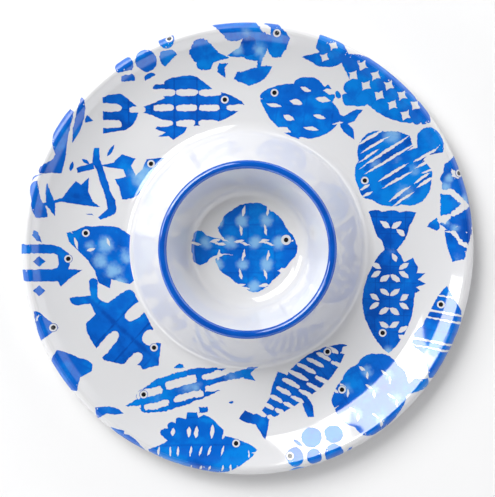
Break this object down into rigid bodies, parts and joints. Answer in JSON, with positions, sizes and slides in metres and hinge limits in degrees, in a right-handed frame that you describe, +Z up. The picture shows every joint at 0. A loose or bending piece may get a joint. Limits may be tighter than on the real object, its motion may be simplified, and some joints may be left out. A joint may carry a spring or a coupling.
{
  "type": "chip and dip server",
  "caption": "Round one-piece melamine platter with a rolled lip and a raised central dip well, printed foils let into its upper face and a coloured band on the dip rim.",
  "frame": {"origin": "on the table, at the centre of the foot ring", "axes": "+Z up, the axis that every piece is turned about; +Y is the far side of the platter as its printed fish are read; +X to the right"},
  "size_m": [0.356, 0.356, 0.0539],
  "materials": {
    "melamine": "glossy white moulded melamine",
    "printed_foil": "white foil printed with blue fish under clear glaze",
    "cobalt_band": "glossy cobalt blue band"
  },
  "bodies": {
    "root": {"server_body": "melamine", "platter_foil": "printed_foil", "well_foil": "printed_foil", "rim_band": "cobalt_band"}
  },
  "joints": []
}
